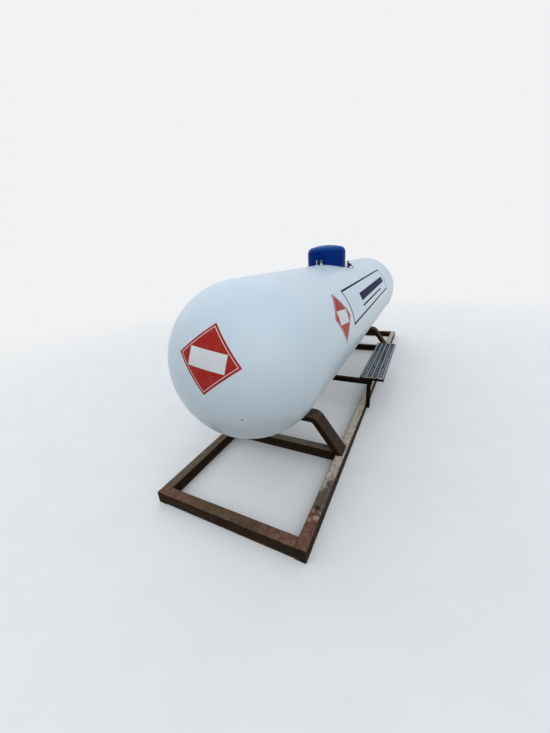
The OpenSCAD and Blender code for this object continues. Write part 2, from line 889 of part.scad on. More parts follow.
// Service valve: body with a side outlet and a fluted handwheel
module service_valve() {
    outlet_z = coupling_h + service_body_h - outlet_down - outlet_r;
    wheel_z = coupling_h + service_body_h + bonnet_h + wheel_h / 2;
    color(brass_tone)
        upright_on_shell(service_at[0], service_at[1]) {
            coupling(service_coupling_r);
            translate([0, 0, coupling_h])
                turned([[service_body_r, service_body_h, 0], [bonnet_r, bonnet_h, 6], [stem_r, wheel_h, 0]]);
            translate([0, 0, outlet_z])
                rotate([-90, 0, 0])
                    turned([[outlet_r, outlet_l, 0], [nut_r, nut_l, 6]]);
            translate([0, 0, wheel_z])
                difference() {
                    cylinder(r = wheel_r, h = wheel_h);
                    for (a = [0:45:315])
                        rotate([0, 0, a])
                            translate([wheel_r + flute_r / 2, 0, -past])
                                cylinder(r = flute_r, h = wheel_h + 2 * past);
                }
        }
}

// Float gauge: square flange with four screws and a round dial
module float_gauge() {
    flange_top = coupling_h + flange_h;
    color(steel_tone)
        upright_on_shell(gauge_at[0], gauge_at[1]) {
            coupling(gauge_coupling_r);
            translate([-flange_w / 2, -flange_w / 2, coupling_h]) cube([flange_w, flange_w, flange_h]);
            for (x = [-screw_at, screw_at])
                for (y = [-screw_at, screw_at])
                    translate([x, y, flange_top]) cylinder(r = screw_r, h = screw_h, $fn = 6);
            translate([0, 0, flange_top])
                turned([[screw_at - screw_r / 2, screw_h + past, 0], [dial_r, dial_h, 0]]);
        }
}

// Vapour return connection with its cap
module vapour_valve() {
    color(brass_tone)
        upright_on_shell(vapour_at[0], vapour_at[1]) {
            coupling(vapour_coupling_r);
            translate([0, 0, coupling_h])
                turned([[vapour_hex_r, hex_h, 6], [vapour_neck_r, vapour_neck_h, 0], [vapour_cap_r, vapour_cap_h, 0]]);
        }
}

// Place of the side fitting on the tank's shoulder, across the tank from its axis and along it from the hood
side_at = [220, 76];

// Small shut-off valve beside the hood: riser, body along the tank's slope, and a knob that leans to the hood
module side_valve() {
    color(dark_tone)
        on_shell(side_at[0], side_at[1]) {
            turned([[side_coupling_r, side_coupling_h, 0], [side_riser_r, side_axis - side_coupling_h, 0]]);
            translate([-side_body_l / 2, 0, side_axis])
                rotate([0, 90, 0])
                    cylinder(r = side_body_r, h = side_body_l);
            translate([0, 0, side_axis])
                rotate([0, -side_lean, 0])
                    turned([[side_stem_r, side_stem_l, 0], [side_knob_r, side_knob_h, 12]]);
        }
}

// Outlet pipe of the side valve, bent down in a half circle towards the tank
module side_outlet() {
    pipe_from = side_body_l / 2;
    color(steel_tone)
        on_shell(side_at[0], side_at[1]) {
            translate([pipe_from, 0, side_axis])
                rotate([0, 90, 0])
                    cylinder(r = side_pipe_r, h = side_pipe_l - pipe_from);
            translate([side_pipe_l, 0, side_axis - side_bend_r])
                rotate([90, 0, 0])
                    rotate([0, 0, -90])
                        rotate_extrude(angle = 180)
                            translate([side_bend_r, 0]) circle(r = side_pipe_r);
        }
}

shell_course(0);  // shell_near
shell_course(1);  // shell_mid
shell_course(2);  // shell_far
tank_head(-1);  // near_head
tank_head(1);  // far_head
left_runner();
right_runner();
cross_tube(end_tube_y(-1));  // near_end_tube
cross_tube(end_tube_y(1));  // far_end_tube
cross_tube(saddle_y(-1));  // near_saddle_tie
cross_tube(saddle_y(1));  // far_saddle_tie
saddle_beam(-1);  // near_saddle_beam
saddle_beam(1);  // far_saddle_beam
saddle_leg(-1, -1);  // near_left_leg
saddle_leg(-1, 1);  // near_right_leg
saddle_leg(1, -1);  // far_left_leg
saddle_leg(1, 1);  // far_right_leg
wear_pad(-1);  // near_wear_pad
wear_pad(1);  // far_wear_pad
tank_feet(-1);  // near_tank_feet
tank_feet(1);  // far_tank_feet
step_arm(-1);  // near_step_arm
step_arm(1);  // far_step_arm
step_post(-1);  // near_step_post
step_post(1);  // far_step_post
step_hanger(-1);  // near_step_hanger
step_hanger(1);  // far_step_hanger
step_angle(-1);  // near_step_angle
step_angle(1);  // far_step_angle
step_plank();
hood();
hood_hinge_strap();
hood_hinge_ears();
hood_hinge_pin();
lifting_lug(-1);  // near_lifting_lug
lifting_lug(1);  // far_lifting_lug
fill_valve();
relief_valve();
service_valve();
float_gauge();
vapour_valve();
side_valve();
side_outlet();
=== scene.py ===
"""Looks for the horizontal pressure tank on its skid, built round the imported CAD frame, in metres."""
import json
import math

import bpy
from mathutils import Matrix, Vector, noise


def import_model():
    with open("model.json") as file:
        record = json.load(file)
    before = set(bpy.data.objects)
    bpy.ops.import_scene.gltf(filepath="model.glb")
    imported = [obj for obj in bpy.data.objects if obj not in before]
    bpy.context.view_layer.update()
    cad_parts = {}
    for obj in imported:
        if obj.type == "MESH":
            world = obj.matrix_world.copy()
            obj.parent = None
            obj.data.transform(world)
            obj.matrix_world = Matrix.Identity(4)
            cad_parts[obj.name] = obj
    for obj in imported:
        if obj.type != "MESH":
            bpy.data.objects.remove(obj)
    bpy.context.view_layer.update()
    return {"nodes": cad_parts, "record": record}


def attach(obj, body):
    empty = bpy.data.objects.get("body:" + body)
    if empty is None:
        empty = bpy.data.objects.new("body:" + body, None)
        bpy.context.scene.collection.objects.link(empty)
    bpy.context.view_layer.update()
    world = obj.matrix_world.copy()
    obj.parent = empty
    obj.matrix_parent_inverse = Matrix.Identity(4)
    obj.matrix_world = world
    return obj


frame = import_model()
nodes = frame["nodes"]

# Sizes of the tank and its domed heads, repeated from the part
TANK_X = -0.081
TANK_Y = -0.046
AXIS_Z = 0.986
TANK_R = 0.5205
SHELL_HALF = 1.9474
HEAD_FLANGE = 0.012
CROWN_R = 0.5605
KNUCKLE_R = 0.4505
CROWN_DROP = math.sqrt((CROWN_R - KNUCKLE_R) ** 2 - (TANK_R - KNUCKLE_R) ** 2)
CROWN_ANGLE = math.asin((TANK_R - KNUCKLE_R) / (CROWN_R - KNUCKLE_R))
COURSE_L = 2 * SHELL_HALF / 3

# Sizes of the skid, the saddle frames and what lies between saddle and tank, repeated from the part
HALF_W = 0.568
RUNNER_W = 0.076
RUNNER_H = 0.095
SKID_HALF = 2.495
SADDLE_Y = 1.515
NEAR_SADDLE_Y = TANK_Y - SADDLE_Y
FAR_SADDLE_Y = TANK_Y + SADDLE_Y
SADDLE_W = 0.152
SADDLE_TOP = 0.400
FOOT_OUT = 0.544
PAD_W = 0.190
PAD_HALF_ANGLE = math.radians(31)
FOOT_X = 0.165
FOOT_L = 0.120
FOOT_T = 0.008

# Sizes of the side step, repeated from the part
STEP_Y = -0.111
PLANK_L = 1.237
PLANK_W = 0.230
PLANK_TOP = 0.420
PLANK_DEPTH = 0.031
PLANK_T = 0.0025
PLANK_OUT = 0.730
GRIP_ROWS = 4
GRIP_LAND = 0.011
RIB_PITCH = (PLANK_W - 2 * GRIP_LAND) / GRIP_ROWS
RIB_START = TANK_X + PLANK_OUT - PLANK_W + GRIP_LAND
ARM_TOP = 0.385
ARM_W = 0.050
ANGLE_T = 0.004
ANGLE_W = 0.025
POST_W = 0.040
POST_LOW = 0.068

# The hood's place, the lifting lugs and the earthing hole, repeated from the part
HOOD_Y = -0.241
LUG_Y = 0.247
LUG_L = 0.058
LUG_IN = 0.016
LUG_OUT = 0.024
EARTH_HOLE = (0.449, -2.195)

# Marks: the height above which one lug plate is darker, scars round the earthing hole (x, y, radius), where
# the reddish paint at the near corners starts and is full, and the stretch of scratches along and across the
# skid
LUG_DARKER_FROM = 1.543
SCARS = ((-0.017, -0.024, 0.014), (0.026, -0.026, 0.011), (0.016, -0.070, 0.022), (-0.020, -0.092, 0.014))
RED_LONG = (-2.02, -2.30)
RED_SHORT = (-2.38, -2.45)
ALONG_Y = (26.0, 1.6, 26.0)
ALONG_X = (1.6, 26.0, 26.0)


# Node graphs
class Graph:
    """A material whose nodes are added by short calls."""

    def __init__(self, name):
        self.mat = bpy.data.materials.new(name)
        self.mat.use_nodes = True
        self.tree = self.mat.node_tree
        self.tree.nodes.clear()
        self.out = self.new("ShaderNodeOutputMaterial")
        self.bsdf = self.new("ShaderNodeBsdfPrincipled")
        self.tree.links.new(self.bsdf.outputs[0], self.out.inputs[0])
        self.coord = self.new("ShaderNodeTexCoord").outputs["Object"]
        self.normal = self.new("ShaderNodeNewGeometry").outputs["Normal"]

    def new(self, kind, **props):
        made = self.tree.nodes.new(kind)
        for key, value in props.items():
            setattr(made, key, value)
        return made

    def put(self, socket, value):
        """Links a socket's value, or sets a plain one; a colour may leave out its alpha."""
        if isinstance(value, bpy.types.NodeSocket):
            self.tree.links.new(value, socket)
        elif isinstance(value, (tuple, list)) and socket.type == "RGBA" and len(value) == 3:
            socket.default_value = (*value, 1.0)
        else:
            socket.default_value = value

    def math(self, op, a, b=0.0, clamp=False):
        made = self.new("ShaderNodeMath", operation=op, use_clamp=clamp)
        self.put(made.inputs[0], a)
        self.put(made.inputs[1], b)
        return made.outputs[0]

    def times(self, first, *others):
        """The product of all its values."""
        for other in others:
            first = self.math("MULTIPLY", first, other)
        return first

    def place(self, scale, shift=(0, 0, 0)):
        made = self.new("ShaderNodeMapping")
        self.put(made.inputs["Vector"], self.coord)
        self.put(made.inputs["Scale"], scale)
        self.put(made.inputs["Location"], shift)
        return made.outputs[0]

    def noise(self, scale, detail=4.0, rough=0.55, vector=None, distort=0.0):
        made = self.new("ShaderNodeTexNoise")
        self.put(made.inputs["Vector"], vector or self.coord)
        self.put(made.inputs["Scale"], scale)
        self.put(made.inputs["Detail"], detail)
        self.put(made.inputs["Roughness"], rough)
        self.put(made.inputs["Distortion"], distort)
        return made.outputs["Fac"]

    def cells(self, scale, vector=None):
        made = self.new("ShaderNodeTexVoronoi")
        self.put(made.inputs["Vector"], vector or self.coord)
        self.put(made.inputs["Scale"], scale)
        return made.outputs

    def band(self, value, low, high, to_low=0.0, to_high=1.0):
        """A smooth step of a value: to_low up to low, and to_high from high on."""
        made = self.new("ShaderNodeMapRange", interpolation_type="SMOOTHSTEP")
        self.put(made.inputs["Value"], value)
        self.put(made.inputs["From Min"], low)
        self.put(made.inputs["From Max"], high)
        self.put(made.inputs["To Min"], to_low)
        self.put(made.inputs["To Max"], to_high)
        return made.outputs[0]

    def mix(self, fac, a, b):
        made = self.new("ShaderNodeMix", data_type="RGBA")
        self.put(made.inputs[0], fac)
        self.put(made.inputs[6], a)
        self.put(made.inputs[7], b)
        return made.outputs[2]

    def split(self, vector):
        made = self.new("ShaderNodeSeparateXYZ")
        self.put(made.inputs[0], vector)
        return made.outputs

    def near(self, point, radius, ragged=0.5, grain=180.0):
        """A ragged spot of the given radius round a point: 1 inside, 0 outside."""
        apart = self.new("ShaderNodeVectorMath", operation="DISTANCE")
        self.put(apart.inputs[0], self.coord)
        self.put(apart.inputs[1], point)
        wobble = self.times(self.noise(grain, 7.0, 0.72, distort=0.8), 2 * ragged * radius)
        far = self.math("ADD", apart.outputs["Value"], wobble)
        return self.band(far, radius * (1 + ragged * 0.8), radius * (1 + ragged * 1.2), 1.0, 0.0)

    def bump(self, height, distance, strength=1.0, onto=None):
        made = self.new("ShaderNodeBump")
        self.put(made.inputs["Height"], height)
        self.put(made.inputs["Distance"], distance)
        self.put(made.inputs["Strength"], strength)
        if onto is not None:
            self.put(made.inputs["Normal"], onto)
        return made.outputs[0]

    def finish(self, colour, rough, normal=None, **constants):
        """Joins everything to the surface; the names of further inputs have _ for each space."""
        self.put(self.bsdf.inputs["Base Color"], colour)
        self.put(self.bsdf.inputs["Roughness"], rough)
        if normal is not None:
            self.put(self.bsdf.inputs["Normal"], normal)
        for key, value in constants.items():
            self.put(self.bsdf.inputs[key.replace("_", " ")], value)
        return self.mat


def scaled(colour, by):
    return tuple(c * by for c in colour)


# Materials
def white_paint():
    """White tank paint: soft gloss, faint run-off streaks, thin dust on top and a few old chips."""
    dull, clean = (0.634, 0.762, 0.870), (0.664, 0.786, 0.886)
    grime, dust, chip = (0.47, 0.46, 0.44), (0.58, 0.58, 0.56), (0.080, 0.082, 0.090)
    g = Graph("white_tank_paint")
    z = g.split(g.coord)[2]
    nz = g.split(g.normal)[2]
    colour = g.mix(g.band(g.noise(1.3, 3.0), 0.35, 0.7), dull, clean)
    low = g.band(z, 0.90, 0.50)
    streaks = g.noise(1.0, 4.0, 0.5, g.place((11.0, 11.0, 0.9)))
    runs = g.times(g.band(streaks, 0.46, 0.80), g.math("ADD", g.times(low, 0.10), 0.02))
    colour = g.mix(runs, colour, grime)
    film = g.times(g.band(nz, 0.75, 0.99), g.band(g.noise(5.0, 6.0, 0.65), 0.45, 0.75))
    colour = g.mix(g.times(film, 0.08), colour, dust)
    for point, radius, depth in HEAD_MARKS:
        colour = g.mix(g.times(g.near(point, radius), depth), colour, chip)
    waves = g.bump(g.noise(2.2, 1.0), 0.006, 0.04)
    rough = g.band(g.noise(5.0, 4.0), 0.3, 0.75, 0.30, 0.38)
    rough = g.math("ADD", rough, g.times(g.math("ADD", runs, film), 0.25), clamp=True)
    return g.finish(colour, rough, waves, Coat_Weight=0.10, Coat_Roughness=0.15)


def shaded_lug_paint():
    """A lifting lug: white with painted shade, darker near one plate's top, and bare steel between that is
    also painted shade on the plates' facing sides.
    """
    steel_and_shade_tones = (0.022, 0.020, 0.020), (0.060, 0.048, 0.040)
    # Painted shade: the lug's white is darker than the tank's white paint, for the shade on the lugs
    shaded_white_tones = (0.48, 0.54, 0.60), (0.56, 0.62, 0.68)
    chip = (0.060, 0.052, 0.050)
    g = Graph("shaded_lug_paint")
    x, _, z = g.split(g.coord)
    across = g.math("SUBTRACT", x, TANK_X)
    # Painted shade: between the plates the bare steel tones cover the pin and also the plates' facing sides,
    # darkening them as painted shade
    plates = g.band(g.math("ABSOLUTE", across), LUG_IN + 0.0002, LUG_IN + 0.0010)
    height = g.math("ADD", z, g.times(g.noise(85.0, 6.0, 0.7), 0.040))
    # The plate on the step's side is mixed to the chip colour above a set height, so it is darker there
    worn = g.times(g.band(across, 0.0, LUG_IN), g.band(height, LUG_DARKER_FROM, LUG_DARKER_FROM + 0.008, 0.0, 0.85))
    bare = g.mix(g.band(g.noise(130.0, 5.0), 0.38, 0.64), *steel_and_shade_tones)
    chips = g.times(g.band(g.cells(210.0)["Distance"], 0.20, 0.14), g.band(g.noise(60.0, 3.0), 0.52, 0.60))
    white = g.mix(g.band(g.noise(40.0, 5.0), 0.35, 0.7), *shaded_white_tones)
    white = g.mix(g.math("MAXIMUM", g.times(chips, 0.7), worn), white, chip)
    rough = g.band(g.noise(80.0, 4.0), 0.3, 0.7, 0.32, 0.50)
    return g.finish(g.mix(plates, bare, white), rough, g.bump(g.noise(300.0, 3.0), 0.0003, 0.25))


def trodden_top(g, base, flat, fine, seed, worn):
    """A runner's top: trodden to a pale beige past its near end, torn and grimy round the earthing hole."""
    smooth_tones = (0.112, 0.086, 0.070), (0.158, 0.126, 0.104)
    near_tones = (0.260, 0.215, 0.170), (0.640, 0.565, 0.470)
    far_tones = (0.330, 0.280, 0.222), (0.660, 0.590, 0.495)
    torn_tones = (0.34, 0.215, 0.178), (0.58, 0.48, 0.43)
    grime_tone = (0.030, 0.022, 0.017)
    hole_x, hole_y = EARTH_HOLE
    x, y, _ = g.split(g.coord)
    start = g.math("ADD", y, g.times(g.noise(16.0, 5.0), 0.26))
    cover = g.band(g.noise(9.0, 8.0, 0.74, g.place((2.4, 0.8, 1.0), (seed, 0, 0))), 0.24, 0.46, 0.62, 1.0)
    cover = g.times(g.band(start, -2.10, -2.03), flat, cover, worn)
    smooth = g.mix(g.band(g.noise(24.0, 4.0), 0.35, 0.65), *smooth_tones)
    pale = g.band(g.noise(48.0, 8.0, 0.80), 0.38, 0.58)
    speckled = g.mix(g.band(y, -1.80, -1.30), g.mix(pale, *near_tones), g.mix(pale, *far_tones))
    slant = g.math("SUBTRACT", start, g.times(g.math("SUBTRACT", x, hole_x), 2.2))
    base = g.mix(cover, base, g.mix(g.band(slant, -1.86, -1.77), smooth, speckled))
    bared = g.mix(g.band(fine, 0.42, 0.58), *torn_tones)
    torn = g.times(g.band(g.noise(44.0, 8.0, 0.74), 0.40, 0.62), flat)
    for dx, dy, radius in SCARS:
        scar = g.near((hole_x + dx, hole_y + dy, RUNNER_H), radius, 1.1, 40.0)
        base = g.mix(g.times(scar, torn, 0.80), base, bared)
    grime = g.near((hole_x, hole_y + 0.010, RUNNER_H), 0.018, 1.0, 60.0)
    return g.mix(g.times(grime, flat, 0.75), base, grime_tone)


def brown_paint(name, top, along=ALONG_Y, dust=0.30, rust=0.30, shade=1.0, seed=0.0, worn=0.0, rub=0.25,
                red=RED_LONG):
    """Flat dark brown steel paint: weathered on top, reddish towards the near corners, scratched and rubbed.

    top is the weathered colour on top, along stretches the scratches along the bar, and worn is how much of
    a runner's top is trodden to a pale beige. rub is how far rounded edges are rubbed, and red is where the
    reddish paint near the corners starts and where it is full. shade darkens the base paint, its rubbed edges
    and its scratches: below 1 it is painted shade on the saddles and the step, and the weld seams' own darker
    tone.
    """
    # shade scales these tones down: painted shade on the saddles and the step, the darker tone of the weld
    # seams
    dark, light = scaled((0.0200, 0.0106, 0.0052), shade), scaled((0.0300, 0.0172, 0.0094), shade)
    rust_tones = (0.090, 0.036, 0.022), (0.150, 0.070, 0.044)
    red_tones = (0.120, 0.054, 0.036), (0.235, 0.125, 0.090)
    rub_tone, scratch_tone = scaled((0.115, 0.070, 0.048), shade), scaled((0.120, 0.090, 0.068), shade)
    dust_tone, mud_tone, speck_tone = (0.170, 0.140, 0.105), (0.120, 0.100, 0.078), (0.130, 0.100, 0.074)
    chip_tone = (0.105, 0.050, 0.032)
    g = Graph(name)
    x, y, z = g.split(g.coord)
    nz = g.split(g.normal)[2]
    up = g.band(nz, 0.35, 0.85)
    flat = g.band(nz, 0.80, 0.97)
    moved = g.place((1.0, 1.0, 1.0), (seed, seed * 0.7, seed * 1.3))
    grain = g.noise(38.0, 8.0, 0.72, moved)
    fine = g.noise(210.0, 5.0, 0.65, moved)
    base = g.mix(g.band(g.noise(17.0, 8.0, 0.7, moved), 0.32, 0.72), dark, light)
    fade = g.times(up, g.band(g.noise(5.0, 6.0, 0.65, moved), 0.25, 0.60, 0.65, 1.0))
    base = g.mix(fade, base, g.mix(g.band(grain, 0.36, 0.66), scaled(top, 0.80), scaled(top, 1.20)))
    rusty = g.times(g.band(g.noise(6.5, 5.0, 0.62, moved, 0.6), 0.52, 0.68), g.band(grain, 0.40, 0.62))
    rusty = g.math("MULTIPLY", rusty, g.math("ADD", g.times(up, rust), rust * 0.35), clamp=True)
    base = g.mix(rusty, base, g.mix(g.band(grain, 0.45, 0.75), *rust_tones))
    off_middle = g.math("ABSOLUTE", g.math("SUBTRACT", x, TANK_X))
    corner = g.times(g.band(y, *red), g.band(off_middle, 0.20, 0.42))
    reddish = g.times(corner, up, g.band(g.noise(9.0, 7.0, 0.7, moved), 0.28, 0.50))
    base = g.mix(g.times(reddish, 0.90), base, g.mix(g.band(grain, 0.35, 0.68), *red_tones))
    dusty = g.times(g.band(g.noise(19.0, 8.0, 0.75, moved), 0.40, 0.72), up, dust)
    base = g.mix(dusty, base, dust_tone)
    if worn:
        base = trodden_top(g, base, flat, fine, seed, worn)
    edge = g.times(g.band(nz, 0.20, 0.45), g.band(nz, 0.97, 0.86))
    base = g.mix(g.times(edge, g.band(grain, 0.44, 0.60), rub), base, rub_tone)
    lines = g.noise(1.0, 3.0, 0.6, g.place(along, (seed, seed, seed)))
    scratched = g.times(g.band(lines, 0.62, 0.68), g.band(fine, 0.40, 0.60, 0.3, 1.0))
    base = g.mix(g.times(scratched, 0.30), base, scratch_tone)
    mud = g.times(g.band(z, 0.045, 0.002), g.band(g.noise(34.0, 7.0, 0.72, moved), 0.40, 0.70))
    base = g.mix(g.times(mud, 0.45), base, mud_tone)
    specks = g.times(g.band(fine, 0.58, 0.70), g.band(nz, 0.0, 0.9, 0.05, 0.40))
    base = g.mix(specks, base, speck_tone)
    chips = g.times(g.band(g.cells(70.0, moved)["Distance"], 0.13, 0.09), g.band(grain, 0.55, 0.66))
    base = g.mix(g.times(chips, g.band(up, 0.0, 1.0, 0.2, 0.5)), base, chip_tone)
    rough = g.band(g.noise(24.0, 6.0, 0.6, moved), 0.3, 0.7, 0.52, 0.76)
    rough = g.math("ADD", rough, g.times(dusty, 0.2), clamp=True)
    skin = g.bump(g.noise(230.0, 5.0, 0.65), 0.0006, 0.35)
    flakes = g.bump(g.times(g.math("ADD", rusty, reddish), grain), 0.0009, 0.45, skin)
    return g.finish(base, rough, flakes, Specular_IOR_Level=0.05)


def blue_paint():
    """Royal blue hood paint with a painted highlight that lightens the crown, a little dust there, and small
    chips near the rim.
    """
    side_tones, crown_highlight_tone = ((0.0002, 0.0200, 0.165), (0.0004, 0.0255, 0.200)), (0.0050, 0.0850, 0.330)
    dust, streak, chip = (0.22, 0.27, 0.34), (0.10, 0.18, 0.36), (0.08, 0.07, 0.07)
    g = Graph("blue_hood_paint")
    z = g.split(g.coord)[2]
    nz = g.split(g.normal)[2]
    up = g.band(nz, 0.10, 0.90)
    colour = g.mix(g.band(g.noise(6.0, 4.0), 0.35, 0.7), *side_tones)
    # Painted highlight: faces turned up are mixed towards a lighter blue, standing in for the sky light on
    # the crown
    colour = g.mix(g.times(up, 0.90), colour, crown_highlight_tone)
    dusty = g.times(g.band(g.noise(15.0, 7.0, 0.7), 0.50, 0.78), up, 0.14)
    colour = g.mix(dusty, colour, dust)
    streaks = g.band(g.noise(1.0, 4.0, 0.6, g.place((26.0, 26.0, 2.0))), 0.55, 0.8)
    colour = g.mix(g.times(streaks, 0.06), colour, streak)
    rim = g.band(z, 1.530, 1.500)
    chips = g.times(g.band(g.cells(95.0)["Distance"], 0.14, 0.09), g.band(g.noise(12.0, 3.0), 0.50, 0.60))
    colour = g.mix(g.times(chips, rim, 0.6), colour, chip)
    rough = g.math("ADD", g.band(g.noise(30.0, 5.0), 0.3, 0.7, 0.29, 0.37), dusty, clamp=True)
    peel = g.bump(g.noise(420.0, 2.0), 0.0003, 0.08)
    dents = g.bump(g.noise(8.0, 1.0), 0.004, 0.05, peel)
    return g.finish(colour, rough, dents, Specular_IOR_Level=0.03, Coat_Weight=0.03, Coat_Roughness=0.08)


def galvanised():
    """Galvanised sheet: spangle darkened in part as painted shade, under a dull bloom, grit in patches, and
    ribs rubbed bright by feet.
    """
    spangle_and_shade_tones, bloom_tone = ((0.030, 0.048, 0.058), (0.070, 0.098, 0.112)), (0.20, 0.24, 0.26)
    grit_tone, bright_tone = (0.085, 0.075, 0.060), (0.52, 0.58, 0.61)
    g = Graph("shaded_galvanised_sheet")
    x, _, z = g.split(g.coord)
    nz = g.split(g.normal)[2]
    tone = g.split(g.cells(70.0)["Color"])[0]
    # Painted shade in part: the spangle tones are darker than bare zinc, for the shadowed ground seen through
    # the grating
    colour = g.mix(tone, *spangle_and_shade_tones)
    bloom = g.band(g.noise(9.0, 6.0, 0.6), 0.38, 0.70)
    colour = g.mix(g.times(bloom, g.band(nz, 0.3, 0.9, 0.08, 0.30)), colour, bloom_tone)
    grit = g.times(g.band(g.noise(46.0, 7.0, 0.75), 0.50, 0.72), g.band(nz, 0.2, 0.8, 0.20, 0.60))
    colour = g.mix(grit, colour, grit_tone)
    from_rib = g.math("PINGPONG", g.math("SUBTRACT", x, RIB_START), RIB_PITCH / 2)
    land = g.times(g.band(from_rib, 0.0046, 0.0030), g.band(z, PLANK_TOP - 0.0012, PLANK_TOP - 0.0004))
    raised = g.math("MAXIMUM", g.band(z, PLANK_TOP + 0.0004, PLANK_TOP + 0.0022), land)
    rubbed = g.times(raised, g.band(grit, 0.5, 0.0, 0.60, 1.0))
    colour = g.mix(rubbed, colour, bright_tone)
    rough = g.math("ADD", g.times(tone, 0.16), g.band(bloom, 0.0, 1.0, 0.36, 0.50), clamp=True)
    skin = g.bump(g.noise(160.0, 4.0), 0.0003, 0.30)
    return g.finish(colour, rough, skin, Metallic=0.55)


def metal(name, dark, light, rough, metallic, tarnish, amount):
    """A plain cast or turned metal with tarnish in patches; rough is its least and greatest roughness."""
    g = Graph(name)
    colour = g.mix(g.band(g.noise(60.0, 5.0), 0.35, 0.68), dark, light)
    patch = g.times(g.band(g.noise(24.0, 6.0, 0.65), 0.48, 0.70), amount)
    colour = g.mix(patch, colour, tarnish)
    skin = g.bump(g.noise(520.0, 3.0), 0.00025, 0.35)
    return g.finish(colour, g.band(g.noise(90.0, 4.0), 0.3, 0.7, *rough), skin, Metallic=metallic)


def sign_film(name, colour, faded, amount=0.35, dirt=0.20, gloss=0.12):
    """Printed vinyl film: slightly faded, with fine grime and a soft gloss."""
    grime_tone = (0.28, 0.25, 0.22)
    g = Graph(name)
    tone = g.mix(g.times(g.band(g.noise(13.0, 5.0), 0.40, 0.72), amount), colour, faded)
    grime = g.band(g.noise(1.0, 5.0, 0.65, g.place((40.0, 40.0, 7.0))), 0.56, 0.82)
    tone = g.mix(g.times(grime, dirt), tone, grime_tone)
    rough = g.band(g.noise(35.0, 4.0), 0.3, 0.7, 0.30, 0.44)
    return g.finish(tone, rough, g.bump(g.noise(300.0, 2.0), 0.0002, 0.15), Specular_IOR_Level=gloss)


# Mesh building
class Build:
    """Collects vertices and faces, then makes one piece of them."""

    BEAD_SIDES = 6
    BEAD_TIP = 0.45
    CROWN_STEPS = 6
    CROWN_SUNK = 0.0001
    CROWN_FOOT = 0.0015
    SHARP_ANGLE = math.radians(40)

    def __init__(self):
        self.verts = []
        self.faces = []
        self.slots = []

    def add(self, verts, faces, slots=None):
        start = len(self.verts)
        self.verts.extend(tuple(v) for v in verts)
        self.faces.extend(tuple(start + i for i in f) for f in faces)
        self.slots.extend(slots or [0] * len(faces))

    def skin(self, verts, size, closed=False):
        """Joins rings of size vertices each into one tube, capped at both ends unless it is closed."""
        count = len(verts) // size
        faces = []
        for i in range(count if closed else count - 1):
            j = (i + 1) % count
            for k in range(size):
                m = (k + 1) % size
                faces.append((i * size + k, j * size + k, j * size + m, i * size + m))
        if not closed:
            faces.append(tuple(range(size)))
            faces.append(tuple((count - 1) * size + k for k in reversed(range(size))))
        self.add(verts, faces)

    def sweep(self, path, radius, ripple, seed, up=None):
        """A weld bead along a path, with thin ends; ripple varies its radius as a welder's hand does."""
        last = len(path) - 1
        side = None
        verts = []
        for i, p in enumerate(path):
            along = (path[min(i + 1, last)] - path[max(i - 1, 0)]).normalized()
            if side is None:
                guide = Vector(up) if up else Vector((0, 0, 1) if abs(along.z) < 0.9 else (1, 0, 0))
                side = along.cross(guide).normalized()
            side = (side - along * side.dot(along)).normalized()
            top = side.cross(along)
            r = radius * (1 + ripple * (0.6 * (i % 2) - 0.3 + noise.noise(p * 60 + Vector((seed, 0, 0)))))
            if i in (0, last):
                r *= self.BEAD_TIP
            for k in range(self.BEAD_SIDES):
                a = 2 * math.pi * k / self.BEAD_SIDES
                verts.append(p + (side * math.cos(a) + top * math.sin(a)) * r)
        self.skin(verts, self.BEAD_SIDES)

    def crown(self, path, outs, across, width, height, closed=False, seed=0.0):
        """A wide, low weld bead along a path; outs point off the surface and across points over the bead."""
        half = width / 2
        offsets = [2 * k / self.CROWN_STEPS - 1 for k in range(self.CROWN_STEPS + 1)]
        verts = []
        for i, (p, out) in enumerate(zip(path, outs)):
            rise = height * (1 + 0.10 * (i % 2) + 0.35 * noise.noise(p * 45 + Vector((seed, 0, 0))))
            for u in offsets:
                verts.append(p + across * (half * u) + out * (rise * (1 - u ** 2) - self.CROWN_SUNK))
            verts += [p + across * (half * u) - out * self.CROWN_FOOT for u in (1, -1)]
        self.skin(verts, len(offsets) + 2, closed)

    def lathe(self, profile, place, sides, turn=0.0):
        """Turns (radius, height) points about the local Z axis of a place, clockwise to face outwards."""
        angles = [turn - 2 * math.pi * k / sides for k in range(sides)]
        points = [(r * math.cos(a), r * math.sin(a), h) for r, h in profile for a in angles]
        self.skin([place @ Vector(p) for p in points], sides)

    def piece(self, name, materials, body="tank"):
        mesh = bpy.data.meshes.new(name)
        mesh.from_pydata(self.verts, [], self.faces)
        for m in materials:
            mesh.materials.append(m)
        mesh.polygons.foreach_set("material_index", self.slots)
        mesh.polygons.foreach_set("use_smooth", [True] * len(self.faces))
        mesh.validate()
        mesh.update()
        mesh.set_sharp_from_angle(angle=self.SHARP_ANGLE)
        made = bpy.data.objects.new(name, mesh)
        bpy.context.scene.collection.objects.link(made)
        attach(made, body)


def straight(a, b, step=0.003):
    """Points along a straight weld at about the ripple's pitch."""
    a, b = Vector(a), Vector(b)
    count = max(3, round((b - a).length / step))
    return [a.lerp(b, i / count) for i in range(count + 1)]


def tank_out(angle):
    """The direction off the shell at an angle from the top, positive towards the step."""
    return Vector((math.sin(angle), 0, math.cos(angle)))


def tank_point(angle, y, lift=0.0):
    """A point on the shell at an angle from the top, positive towards the step, lifted off the surface."""
    r = TANK_R + lift
    return Vector((TANK_X + r * math.sin(angle), y, AXIS_Z + r * math.cos(angle)))


